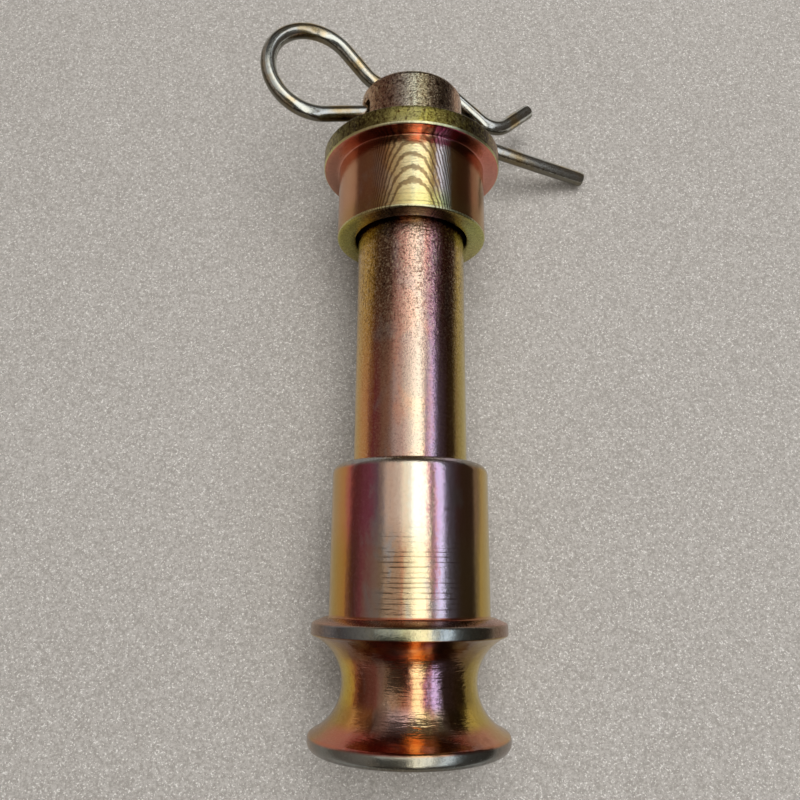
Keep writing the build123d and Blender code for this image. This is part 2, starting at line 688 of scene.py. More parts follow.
COLLAR_EDGE = all_round(
    (180, 160, 120),
    (0.3, 180, 160, 124), (0.38, 176, 172, 172), (0.44, 186, 190, 192), (0.49, 226, 206, 180),
    (0.53, 240, 224, 204), (0.57, 214, 196, 214), (0.62, 150, 146, 140), (0.7, 184, 160, 116),
)
COLLAR_ROOT = all_round(
    (190, 130, 84),
    (0.3, 206, 160, 100), (0.4, 180, 104, 76), (0.5, 206, 126, 88), (0.58, 160, 86, 70),
    (0.7, 200, 158, 96),
)
SHAFT_LOW = all_round(
    UNDERSIDE,
    (0.25, 206, 180, 106), (0.32, 222, 178, 92), (0.366, 226, 156, 100), (0.384, 186, 96, 100),
    (0.42, 196, 146, 122), (0.45, 220, 164, 140), (0.475, 242, 178, 150), (0.495, 250, 214, 184),
    (0.518, 252, 236, 206), (0.538, 246, 206, 180), (0.548, 214, 166, 176), (0.562, 216, 188, 222),
    (0.59, 184, 150, 160), (0.61, 150, 110, 84), (0.65, 176, 150, 78), (0.7, 212, 192, 100),
    (0.75, 196, 180, 106),
)
SHAFT_HIGH = all_round(
    UNDERSIDE,
    (0.25, 206, 178, 110), (0.31, 226, 182, 90), (0.372, 214, 170, 80), (0.392, 156, 120, 82),
    (0.42, 124, 96, 76), (0.445, 136, 100, 84), (0.465, 214, 154, 136), (0.485, 252, 196, 176),
    (0.515, 255, 226, 204), (0.54, 248, 182, 168), (0.565, 206, 152, 170), (0.588, 150, 88, 72),
    (0.63, 120, 88, 56), (0.656, 216, 184, 82), (0.71, 206, 184, 96), (0.75, 190, 170, 106),
)
TIP_FACE = all_round((166, 146, 118))
TIP = all_round(
    (176, 150, 112),
    (0.27, 196, 170, 138), (0.32, 216, 182, 146), (0.36, 200, 158, 122), (0.41, 172, 128, 106),
    (0.445, 162, 126, 108), (0.465, 200, 174, 154), (0.49, 236, 226, 206), (0.51, 226, 226, 202),
    (0.54, 206, 192, 152), (0.565, 146, 126, 100), (0.59, 136, 114, 92), (0.64, 132, 104, 84),
    (0.675, 212, 170, 138), (0.75, 214, 184, 160),
)
BUSH_END = all_round(
    (196, 182, 116),
    (0.25, 188, 182, 100), (0.36, 178, 166, 82), (0.42, 140, 116, 74), (0.46, 104, 88, 64),
    (0.54, 100, 84, 60), (0.6, 140, 124, 72), (0.67, 178, 182, 108), (0.75, 190, 188, 118),
)
BUSH_LINE = all_round(
    (206, 200, 140),
    (0.3, 214, 206, 140), (0.42, 226, 214, 160), (0.5, 255, 250, 200), (0.58, 214, 226, 190),
    (0.7, 206, 196, 136),
)
BUSH_BARREL = all_round(
    UNDERSIDE,
    (0.25, 180, 140, 104), (0.31, 210, 152, 110), (0.35, 214, 160, 122), (0.374, 214, 156, 120),
    (0.388, 170, 112, 82), (0.43, 166, 116, 84), (0.442, 180, 130, 86), (0.458, 206, 168, 116),
    (0.48, 238, 210, 154), (0.495, 252, 236, 182), (0.51, 255, 246, 196), (0.53, 250, 228, 166),
    (0.545, 180, 146, 84), (0.557, 226, 218, 222), (0.5725, 214, 216, 214), (0.587, 190, 150, 100),
    (0.6, 170, 120, 76), (0.64, 160, 100, 64), (0.66, 176, 116, 70), (0.69, 196, 150, 86),
    (0.75, 190, 134, 90),
)
BUSH_LOW = all_round(
    UNDERSIDE,
    (0.25, 176, 140, 92), (0.31, 200, 152, 96), (0.36, 200, 152, 100), (0.388, 160, 112, 76),
    (0.43, 156, 112, 76), (0.458, 196, 164, 108), (0.48, 232, 206, 136), (0.51, 248, 240, 176),
    (0.54, 232, 220, 136), (0.56, 186, 200, 150), (0.5725, 196, 210, 184), (0.587, 176, 146, 92),
    (0.64, 150, 102, 64), (0.69, 190, 150, 84), (0.75, 186, 136, 90),
)
BUSH_FACE = all_round(
    (220, 164, 138),
    (0.25, 204, 150, 130), (0.34, 214, 142, 118), (0.39, 190, 104, 84), (0.43, 120, 62, 50),
    (0.465, 140, 66, 50), (0.485, 226, 118, 84), (0.53, 232, 116, 92), (0.545, 130, 50, 50),
    (0.56, 196, 74, 126), (0.58, 186, 66, 110), (0.595, 110, 60, 54), (0.63, 130, 80, 64),
    (0.675, 220, 136, 120), (0.75, 214, 148, 134),
)
BUSH_RIM = all_round(
    (180, 166, 112),
    (0.25, 176, 150, 124), (0.31, 158, 146, 98), (0.36, 140, 130, 80), (0.4, 108, 94, 56),
    (0.43, 108, 96, 56), (0.462, 146, 132, 78), (0.49, 208, 198, 120), (0.52, 204, 196, 98),
    (0.545, 142, 130, 66), (0.58, 124, 112, 58), (0.61, 104, 90, 50), (0.66, 100, 84, 56),
    (0.7, 196, 158, 128), (0.75, 190, 156, 128),
)


@dataclass(frozen=True)
class TurningRings:
    """Fine rings that the tool left: a faint relief and dark lines of painted shade, broken up
    and kept to the bearings round the top, where the highlight falls.
    """

    pitch: float = 0.98
    drift: Noise = Noise(0.35, 3, 0.6, stretch=25, way=Along.ROUND)
    drift_reach: float = 0.5
    breaks: Noise = Noise(1.1, 3, 0.6, stretch=7, way=Along.ROUND)
    breaks_edge: Range = (0.42, 0.58)
    line_edge: Range = (0.35, 0.98)
    # Bearings round the top where the highlight falls, the only place the painted ring lines show.
    sides: Range = (0.46, 0.575)
    side_fade: float = 0.03
    # Share of painted shade in the ring lines.
    painted_darkness: float = 0.55
    depth: float = 0.025

    def draw(self, graph: Graph, place: TurnedPlace) -> Socket:
        """Draws the rings.

        Args:
            graph: The material's graph.
            place: Where a point lies on the work.

        Returns:
            1 in the middle of each ring and 0 between them.
        """
        drift = graph.swing(place.noise(self.drift), self.drift_reach)
        wave = graph.wave(graph.total(place.along, drift), self.pitch)
        return graph.product(
            graph.step(wave, *self.line_edge),
            graph.band(place.bearing, *self.sides, self.side_fade),
            graph.step(place.noise(self.breaks), *self.breaks_edge),
        )


@dataclass(frozen=True)
class ChatterArcs:
    """Nested arcs over a barrel's top: a faint relief that a chattering tool left, with dark
    lines of painted reflection in the colour where they break the highlight.
    """

    start: float
    end: float
    # Centre bearing of the highlight, where the painted arc lines show.
    bearing: float = 0.503
    curl: float = 11800.0
    bend: float = 2.45
    pitch: float = 3.2
    stir: Noise = Noise(0.35, 2, 0.5)
    stir_reach: float = 1.2
    ragged: Noise = Noise(1.3, 2, 0.6)
    ragged_reach: float = 0.75
    line_edge: Range = (-0.2, 0.85)
    spread: float = 0.07
    side_fade: float = 0.02
    end_fade: float = 0.3
    lowest: float = 4.6
    lowest_fade: float = 0.8
    # Share of painted reflection in the arc lines.
    painted_darkness: float = 0.78
    depth: float = 0.010

    def draw(self, graph: Graph, place: TurnedPlace) -> Socket:
        """Draws the arcs.

        Args:
            graph: The material's graph.
            place: Where a point lies on the work.

        Returns:
            1 in the middle of each dark line and 0 between them.
        """
        aside = graph.math("ABSOLUTE", graph.math("SUBTRACT", place.bearing, self.bearing))
        fall = graph.product(graph.math("POWER", aside, self.bend), self.curl)
        stir = graph.swing(place.noise(self.stir), self.stir_reach)
        ragged = graph.swing(place.noise(self.ragged), self.ragged_reach)
        travel = graph.total(place.along, fall, stir, ragged)
        lowest = self.start + self.lowest
        left, right = self.bearing - self.spread, self.bearing + self.spread
        return graph.product(
            graph.step(graph.wave(travel, self.pitch), *self.line_edge),
            graph.step(travel, lowest - self.lowest_fade, lowest + self.lowest_fade),
            graph.band(place.bearing, left, right, self.side_fade),
            graph.band(place.along, self.start, self.end, self.end_fade),
        )


@dataclass(frozen=True)
class TurnedPlating:
    """Turned steel with a yellow chromate film over bright zinc.

    Each edge is a pair of noise values between which a mark sets in, and each depth is
    the height of a relief. The film bands by bearing and the dark lines of the rings and
    arcs are painted highlights and painted shade in the colour.
    """

    name: str
    zones: tuple[FilmZone, ...]
    axis_height: float = 0.0
    arcs: ChatterArcs | None = None
    rings: TurningRings = TurningRings()
    streak: Noise = Noise(0.20, 3, 0.55, stretch=12)
    streak_reach: float = 0.035
    mottle: Noise = Noise(1.3, 4, 0.65, stretch=1.8)
    mottle_reach: float = 0.012
    mottle_roughness: float = 0.10
    patches: Noise = Noise(0.13, 4, 0.6, 0.5, stretch=2.2)
    patches_edge: Range = (0.50, 0.64)
    patches_sides: Range = (0.40, 0.60)
    patches_fade: float = 0.03
    grain: Noise = Noise(2.2, 2, 0.6)
    grain_depth: float = 0.09
    dark_edge: Range = (0.52, 0.70)
    light_edge: Range = (0.48, 0.34)
    lightness: float = 0.6
    spots_edge: Range = (0.50, 0.64)
    dimples: Noise = Noise(0.9, 1, 0.5, stretch=1.8)
    dimples_depth: float = 0.10
    brush: Noise = Noise(2.6, 2, 0.6, stretch=4, way=Along.ROUND)
    brush_depth: float = 0.08
    ripple: Noise = Noise(1.5, 2, 0.5, 0.6, stretch=6, way=Along.ROUND)
    ripple_depth: float = 0.11
    # Dark specks and flecks use this colour as dirt; the ring and arc lines use it as painted
    # shade.
    dirt_and_painted_shade: Colour = (0.26, 0.18, 0.14)
    pale: Colour = paint(238, 222, 190)
    bare: Colour = paint(186, 190, 192)

    def along_zones(self, graph: Graph, insides: list[Socket], quality: str) -> Source:
        """Runs one of the zones' numbers along the work.

        Args:
            graph: The material's graph.
            insides: For each zone after the first, where the work is past its start.
            quality: Name of the number in a zone.

        Returns:
            The number at any place.
        """
        values = [getattr(zone, quality) for zone in self.zones]
        total: Source = values[0]
        for inside, before, value in zip(insides, values, values[1:]):
            if value != before:
                total = graph.math("MULTIPLY_ADD", inside, value - before, total)
        return total

    def film(self, graph: Graph, insides: list[Socket], bearing: Socket) -> Socket:
        """Colours the film, zone by zone, with its painted highlights and painted shade by
        bearing.

        Args:
            graph: The material's graph.
            insides: For each zone after the first, where the work is past its start.
            bearing: The bearing, stirred.

        Returns:
            The colour's socket.
        """
        colour = graph.ramp(bearing, self.zones[0].bands)
        for inside, before, zone in zip(insides, self.zones, self.zones[1:]):
            if zone.bands is not before.bands:
                colour = graph.mix(inside, colour, graph.ramp(bearing, zone.bands))
        return colour

    def make(self) -> bpy.types.Material:
        """Builds the material.

        Returns:
            The material.
        """
        graph = Graph(self.name)
        place = TurnedPlace(graph, self.axis_height)
        mottle, grain = place.noise(self.mottle), place.noise(self.grain)
        insides = [
            graph.step(place.along, zone.start - zone.soft, zone.start + zone.soft)
            for zone in self.zones[1:]
        ]
        rough, speckle, brushed, flecks, grooves, chatter, worn = (
            self.along_zones(graph, insides, quality)
            for quality in (
                "roughness", "speckle", "brushed", "flecks", "grooves", "chatter", "worn"
            )
        )
        bearing = graph.total(
            place.bearing,
            graph.swing(place.noise(self.streak), self.streak_reach),
            graph.swing(mottle, self.mottle_reach),
        )
        # The bands by bearing lay painted highlights and painted shade over the film's own
        # colours.
        colour = self.film(graph, insides, bearing)
        bare = graph.product(
            graph.step(place.noise(self.patches), *self.patches_edge),
            worn,
            graph.band(place.bearing, *self.patches_sides, self.patches_fade),
        )
        colour = graph.mix(bare, colour, self.bare)
        dark = graph.product(graph.step(grain, *self.dark_edge), speckle)
        colour = graph.mix(dark, colour, self.dirt_and_painted_shade, "MULTIPLY")
        light = graph.product(graph.step(grain, *self.light_edge), speckle, self.lightness)
        colour = graph.mix(light, colour, self.pale)
        spots = graph.product(graph.step(mottle, *self.spots_edge), flecks)
        colour = graph.mix(spots, colour, self.dirt_and_painted_shade, "MULTIPLY")
        # The ring lines: a faint relief and, in the colour, painted shade.
        ring_relief_and_shade = graph.product(self.rings.draw(graph, place), grooves)
        layers = [
            (graph.product(place.noise(self.ripple), chatter), self.ripple_depth),
            (graph.product(place.noise(self.brush), brushed), self.brush_depth),
        ]
        marks = [(ring_relief_and_shade, self.rings)]
        if self.arcs is not None:
            marks.append((self.arcs.draw(graph, place), self.arcs))
        # Rings and arcs each add a faint relief and dark lines of painted shade in the colour.
        for lines, mark in marks:
            share = graph.product(lines, mark.painted_darkness)
            colour = graph.mix(share, colour, self.dirt_and_painted_shade, "MULTIPLY")
            layers.append((lines, mark.depth))
        layers.append((graph.product(place.noise(self.dimples), flecks), self.dimples_depth))
        layers.append((graph.product(grain, speckle), self.grain_depth))
        return graph.shade(
            {
                "Base Color": colour,
                "Metallic": 1.0,
                "Roughness": graph.total(rough, graph.swing(mottle, self.mottle_roughness)),
                "Normal": graph.relief(*layers),
            }
        )


@dataclass(frozen=True)
class SpringWire:
    """Drawn spring wire, bright zinc plated with a gold tint, with painted shade round its sides.

    The wire lies in a plane through the origin that is square to flat.
    """

    flat: Triple
    radius: float
    name: str = "zinc_spring_wire"
    cloud: Noise = Noise(0.10, 3, 0.6)
    cloud_edge: Range = (0.44, 0.64)
    tint: float = 0.8
    mottle: Noise = Noise(1.3, 4, 0.65)
    mottle_edge: Range = (0.46, 0.30)
    mottle_darkness: float = 0.45
    mottle_depth: float = 0.008
    grain: Noise = Noise(4.5, 3, 0.7)
    grain_depth: float = 0.003
    painted_shade_edges: Range = (-0.35, 0.40)
    painted_shade_fade: float = 0.25
    painted_shade_reach: float = 0.3
    painted_shade_darkness: float = 0.85
    roughness: Range = (0.11, 0.27)
    zinc: Colour = paint(216, 220, 214)
    gold: Colour = paint(222, 194, 132)
    shade: Colour = paint(150, 128, 104)
    painted_shade_colour: Colour = paint(92, 84, 66)

    def make(self) -> bpy.types.Material:
        """Builds the material.

        Returns:
            The material.
        """
        graph = Graph(self.name)
        place = graph.place()
        mottle = graph.noise(place, self.mottle)
        tinted = graph.step(graph.noise(place, self.cloud), *self.cloud_edge)
        colour = graph.mix(graph.product(tinted, self.tint), self.zinc, self.gold)
        dark = graph.product(graph.step(mottle, *self.mottle_edge), self.mottle_darkness)
        colour = graph.mix(dark, colour, self.shade)
        # Painted shade: a band round the wire's sides, about its middle height, is darkened as the
        # dark room reflects there.
        height = graph.math("DIVIDE", graph.vector("DOT_PRODUCT", place, self.flat), self.radius)
        height = graph.total(height, graph.swing(mottle, self.painted_shade_reach))
        painted_shade_band = graph.band(height, *self.painted_shade_edges, self.painted_shade_fade)
        colour = graph.mix(graph.product(painted_shade_band, self.painted_shade_darkness), colour, self.painted_shade_colour)
        smooth, dull = self.roughness
        return graph.shade(
            {
                "Base Color": colour,
                "Metallic": 1.0,
                "Roughness": graph.math("MULTIPLY_ADD", mottle, dull - smooth, smooth),
                "Normal": graph.relief(
                    (mottle, self.mottle_depth),
                    (graph.noise(place, self.grain), self.grain_depth),
                ),
            }
        )


@dataclass(frozen=True)
class PlainFloor:
    """A plain pale grey laminate with a fine sparkling grain."""

    name: str = "plain_floor"
    grain: Noise = Noise(1.5, 3, 0.7)
    grain_reach: float = 2.6
    grain_depth: float = 0.05
    cloud: Noise = Noise(0.012, 2, 0.5)
    cloud_share: float = 0.4
    lightness: float = 0.3
    glint: Noise = Noise(2.6, 1, 0.5)
    glint_edge: Range = (0.60, 0.70)
    glint_share: float = 0.8
    roughness: float = 0.7
    tone: Colour = paint(166, 161, 155)
    light: Colour = paint(196, 192, 187)
    sparkle: Colour = paint(244, 242, 238)

    def make(self) -> bpy.types.Material:
        """Builds the material.

        Returns:
            The material.
        """
        graph = Graph(self.name)
        place = graph.place()
        grain = graph.noise(place, self.grain)
        cloud = graph.noise(place, self.cloud)
        swing = graph.swing(grain, self.grain_reach)
        share = graph.math("MULTIPLY_ADD", cloud, self.cloud_share, swing)
        share = graph.math("ADD", share, self.lightness, clamp=True)
        colour = graph.mix(share, self.tone, self.light)
        glints = graph.step(graph.noise(place, self.glint), *self.glint_edge)
        colour = graph.mix(graph.product(glints, self.glint_share), colour, self.sparkle)
        return graph.shade(
            {
                "Base Color": colour,
                "Roughness": self.roughness,
                "Normal": graph.relief((grain, self.grain_depth)),
            }
        )


@dataclass(frozen=True)
class FlagCloth:
    """Matt cloth, a little warm."""

    name: str
    shade: float
    warmth: Triple = (1.0, 0.85, 0.75)

    def make(self) -> bpy.types.Material:
        """Builds the material.

        Returns:
            The material.
        """
        tone = tuple(self.shade * part for part in self.warmth)
        return Graph(self.name).shade(
            {"Base Color": tone, "Roughness": 1.0, "Specular IOR Level": 0.0}
        )


# ----------------------------------------------------------------------------------------
# Pieces
# ----------------------------------------------------------------------------------------


def dress(
    piece: bpy.types.Object, finish: bpy.types.Material, body: str, node: str
) -> None:
    """Gives a piece its finish and its place in the frame.

    Args:
        piece: The piece, in place.
        finish: Its material.
        body: Body that it moves with.
        node: Solid that it stands for.
    """
    piece.data.materials.clear()
    piece.data.materials.append(finish)
    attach(piece, body)
    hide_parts(node)
    low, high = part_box(node)
    places = [vertex.co for vertex in piece.data.vertices]
    off = max(
        max(
            abs(min(place[i] for place in places) - low[i]),
            abs(max(place[i] for place in places) - high[i]),
        )
        for i in range(3)
    )
    LOG.info(
        "%s: %d faces, stands for %s, sides within %.2f mm of it",
        piece.name,
        len(piece.data.polygons),
        node,
        off / MM,
    )


@dataclass
class HitchPin:
    """Grip, flange, collar and shaft turned from one bar, with a cross hole at the tip.

    The flange_edge is the tangent length of its rounded edge, because that edge is blunt.
    """

    shaft_diameter: float = 25.4
    shaft_length: float = 127.0
    tip_chamfer: float = 1.2
    collar_step: float = 4.6
    collar_length: float = 32.4
    collar_edge_radius: float = 2.2
    collar_edge_lead: float = 0.1
    shoulder_width: float = 3.6
    shoulder_land: float = 1.0
    shoulder_fall: float = 1.1
    flange_thickness: float = 3.5
    flange_edge: float = 0.48
    flange_back_radius: float = 0.5
    grip_length: float = 19.2
    grip_waist_diameter: float = 28.5
    head_diameter: float = 41.9
    head_thickness: float = 3.2
    head_edge_radius: float = 2.0
    head_lip_radius: float = 1.0
    root_radius: float = 0.35
    cross_hole_diameter: float = 6.35
    hole_to_tip: float = 6.2
    hole_mouth_break: float = 0.5
    drill_overrun: float = 1.0
    pitch: float = 1.35
    head_pitch: float = 3.0
    hollow_steps: int = 32
    hole_divisions: int = 64
    divisions: int = 240

    @property
    def shaft_radius(self) -> float:
        """Radius of the shaft."""
        return self.shaft_diameter / 2

    @property
    def collar_radius(self) -> float:
        """Radius of the collar."""
        return self.shaft_radius + self.collar_step

    @property
    def flange_radius(self) -> float:
        """Radius of the flange that bears on the bar."""
        return self.collar_radius + self.shoulder_width

    @property
    def hole_along(self) -> float:
        """Place of the cross hole along the pin."""
        return self.shaft_length - self.hole_to_tip

    @property
    def rim_top(self) -> float:
        """Place along the pin where the head ends and the grip's hollow starts."""
        return -self.flange_thickness - self.grip_length

    @property
    def head_end(self) -> float:
        """Place of the head's flat face along the pin."""
        return self.rim_top - self.head_thickness

    def turn_bar(self) -> bpy.types.Object:
        """Turns the bar, without its hole.

        Returns:
            The turned piece.
        """
        head, waist = self.head_diameter / 2, self.grip_waist_diameter / 2
        shaft, collar, flange = self.shaft_radius, self.collar_radius, self.flange_radius
        underside = -self.flange_thickness
        collar_side = self.collar_length - self.collar_edge_radius - self.collar_edge_lead
        flare = (flange - waist) / (self.grip_length / 2)
        lathe = Lathe("turned_pin", 0.0, self.head_end)
        lathe.cut(head, self.head_end, self.head_pitch)
        lathe.cut(head, self.rim_top)
        lathe.cut_hollow(flange, underside, waist, self.hollow_steps)
        lathe.cut(flange, -self.shoulder_fall)
        lathe.cut(collar + self.shoulder_land, 0.0)
        lathe.cut(collar, 0.0)
        lathe.cut(collar, collar_side, self.pitch)
        lathe.cut(collar, self.collar_length)
        lathe.cut(shaft, self.collar_length)
        lathe.cut(shaft, self.shaft_length, self.pitch)
        lathe.cut(0.0, self.shaft_length, self.pitch)
        lathe.round_off(
            Corner(head, self.head_end, self.head_edge_radius),
            Corner(head, self.rim_top, self.head_lip_radius * flare),
            Corner(flange, underside, self.flange_back_radius * flare, 4),
            Corner(flange, -self.shoulder_fall, self.flange_edge),
            Corner(collar, 0.0, self.root_radius, 3),
            Corner(collar, self.collar_length, self.collar_edge_radius, 9),
            Corner(shaft, self.collar_length, self.root_radius, 3),
            Corner(shaft, self.shaft_length, self.tip_chamfer, 4),
        )
        return lathe.turn(self.divisions)

    def make_drill(self, direction: Vector) -> bpy.types.Object:
        """Makes the tool that leaves the cross hole and its broken mouths.

        Args:
            direction: The way that the hole runs.

        Returns:
            The tool's solid.
        """
        drill = start_from(
            bpy.ops.mesh.primitive_cylinder_add,
            "drill",
            vertices=self.hole_divisions,
            radius=self.cross_hole_diameter / 2 * MM,
            depth=2 * (self.shaft_radius - self.hole_mouth_break) * MM,
            location=(0, self.hole_along * MM, 0),
            rotation=(0, pi / 2 + atan2(-direction.z, direction.x), 0),
        )
        bpy.ops.mesh.select_mode(type="FACE")
        mouth = self.drill_overrun + self.hole_mouth_break
        flare = 1 + 2 * mouth / self.cross_hole_diameter
        for way in (direction, -direction):
            pick(drill, Element.FACE, lambda face, way=way: face.normal.dot(way) > FACING)
            bpy.ops.mesh.extrude_region_move(
                TRANSFORM_OT_translate={"value": tuple(way * mouth * MM)}
            )
            middle = way * (self.shaft_radius + self.drill_overrun) * MM
            middle.y = self.hole_along * MM
            bpy.ops.transform.resize(value=(flare, flare, flare), center_override=tuple(middle))
        bpy.ops.object.mode_set(mode="OBJECT")
        return drill

    def build(self, direction: Vector) -> bpy.types.Object:
        """Turns the bar and drills its cross hole.

        Args:
            direction: The way that the hole runs.

        Returns:
            The finished pin.
        """
        pin = self.turn_bar()
        drill = self.make_drill(direction)
        cut = pin.modifiers.new("cross_hole", "BOOLEAN")
        cut.operation = "DIFFERENCE"
        cut.solver = "EXACT"
        cut.object = drill
        bpy.ops.object.select_all(action="DESELECT")
        pin.select_set(True)
        bpy.context.view_layer.objects.active = pin
        bpy.ops.object.modifier_apply(modifier=cut.name)
        bpy.data.objects.remove(drill)
        bpy.ops.object.shade_smooth_by_angle(angle=radians(CREASE))
        return pin

    def finish(self) -> TurnedPlating:
        """The pin's finish, zone by zone from its head to its tip.

        Returns:
            The finish.
        """
        rim_top, underside = self.rim_top, -self.flange_thickness
        collar_end, tip = self.collar_length, self.shaft_length
        return TurnedPlating(
            name="pin_chromate",
            zones=(
                # start, bands, roughness, soft, speckle, brushed, flecks, grooves, chatter
                FilmZone(self.head_end, HEAD_FACE, 0.30, speckle=0.3, flecks=0.2),
                FilmZone(self.head_end + 0.06, HEAD_EDGE, 0.26, 0.04, 0.15),
                FilmZone(self.head_end + 0.75, HEAD_RIM, 0.24, 0.35, 0.10, 0.3, 0.15),
                FilmZone(rim_top - 0.3, SPOOL_FOOT, 0.20, 0.3, 0.12, 0.5, chatter=0.5),
                FilmZone(rim_top + 2.6, SPOOL_LOW, 0.19, 1.0, 0.12, 0.6, 0.1, 0.3, 1.0),
                FilmZone(rim_top + 6.2, SPOOL_WAIST, 0.18, 1.4, 0.12, 0.6, 0.2, 0.7, 1.0),
                FilmZone(underside - 4.4, SPOOL_TOP, 0.18, 1.2, 0.1, 0.4, 0.1, 0.2, 0.6),
                FilmZone(underside + 0.15, FLANGE_RIM, 0.22, 0.15, 0.2, 0.2, 0.15),
                FilmZone(-self.shoulder_fall, SHOULDER, 0.26, 0.25, 0.05, 0.05),
                FilmZone(-0.03, COLLAR_ROOT, 0.24, 0.03, 0.1, 0.05),
                FilmZone(0.55, COLLAR_LOW, 0.18, 0.2, 0.10, 0.4, grooves=0.95, worn=0.6),
                FilmZone(16.0, COLLAR, 0.17, 5.0, 0.10, 0.45, worn=0.45),
                FilmZone(collar_end - 1.5, COLLAR_EDGE, 0.25, 0.5, 0.3, 0.3, 0.4),
                FilmZone(collar_end + 0.1, SHAFT_LOW, 0.19, 0.1, 0.3, 0.6, worn=0.35),
                FilmZone(60.0, SHAFT_HIGH, 0.18, 18.0, 1.0, 0.6, 0.6, worn=0.35),
                FilmZone(106.0, TIP, 0.27, 3.0, 1.0, 0.3, 0.9),
                FilmZone(tip - 0.5, TIP_FACE, 0.40, 0.4, 0.6, 0.0, 0.6),
            ),
        )


@dataclass
class FlangedBush:
    """The loose bush, resting with its bore on the pin's shaft."""

    bore_radius: float = 13.4
    wall: float = 4.4
    length: float = 22.9
    flange_width: float = 3.8
    flange_thickness: float = 4.7
    face_along: float = 110.0
    lift: float = 0.68
    root_radius: float = 0.3
    flange_break: float = 0.5
    end_break: float = 0.5
    bore_break: float = 0.6
    pitch: float = 1.5
    barrel_pitch: float = 1.2
    divisions: int = 240

    @property
    def end(self) -> float:
        """Place of the barrel's free end along the pin."""
        return self.face_along - self.length

    @property
    def back(self) -> float:
        """Place along the pin where the barrel meets the flange."""
        return self.face_along - self.flange_thickness

    def build(self) -> bpy.types.Object:
        """Turns and bores the bush.

        Returns:
            The finished bush.
        """
        bore = self.bore_radius
        barrel = bore + self.wall
        flange = barrel + self.flange_width
        lathe = Lathe("turned_bush", bore, self.end, self.lift)
        lathe.cut(barrel, self.end, self.pitch)
        lathe.cut(barrel, self.back, self.barrel_pitch)
        lathe.cut(flange, self.back, self.pitch)
        lathe.cut(flange, self.face_along, self.pitch)
        lathe.cut(bore, self.face_along, self.pitch)
        lathe.cut(bore, self.end, self.pitch)
        lathe.close()
        lathe.round_off(
            Corner(barrel, self.end, self.end_break, 3),
            Corner(barrel, self.back, self.root_radius, 3),
            Corner(flange, self.back, self.flange_break, 4),
            Corner(flange, self.face_along, self.flange_break, 4),
            Corner(bore, self.face_along, self.bore_break, 2),
            Corner(bore, self.end, self.bore_break, 2),
        )
        return lathe.turn(self.divisions)

    def finish(self) -> TurnedPlating:
        """The bush's finish, zone by zone from its end to its flange.

        Returns:
            The finish.
        """
        end, back = self.end, self.back
        return TurnedPlating(
            name="bush_chromate",
            pale=paint(228, 222, 136),
            zones=(
                # start, bands, roughness, soft, speckle, brushed, flecks
                FilmZone(end, BUSH_END, 0.28, speckle=0.2, flecks=0.3),
                FilmZone(end + 0.22, BUSH_LINE, 0.28, 0.06, 0.3, flecks=0.3),
                FilmZone(end + 0.62, BUSH_LOW, 0.22, 0.1, 0.12, 0.4, grooves=0.5),
                FilmZone(end + 4.0, BUSH_BARREL, 0.20, 2.5, 0.10, 0.4),
                FilmZone(back - 0.25, BUSH_FACE, 0.22, 0.1, 0.1, 0.3, 0.2),
                FilmZone(back + 0.1, BUSH_LINE, 0.30, 0.05, 0.3, flecks=0.3),
                FilmZone(back + 0.6, BUSH_RIM, 0.36, 0.08, 0.7, 0.5, 1.0),
            ),
            axis_height=self.lift,
            arcs=ChatterArcs(end, back),
        )


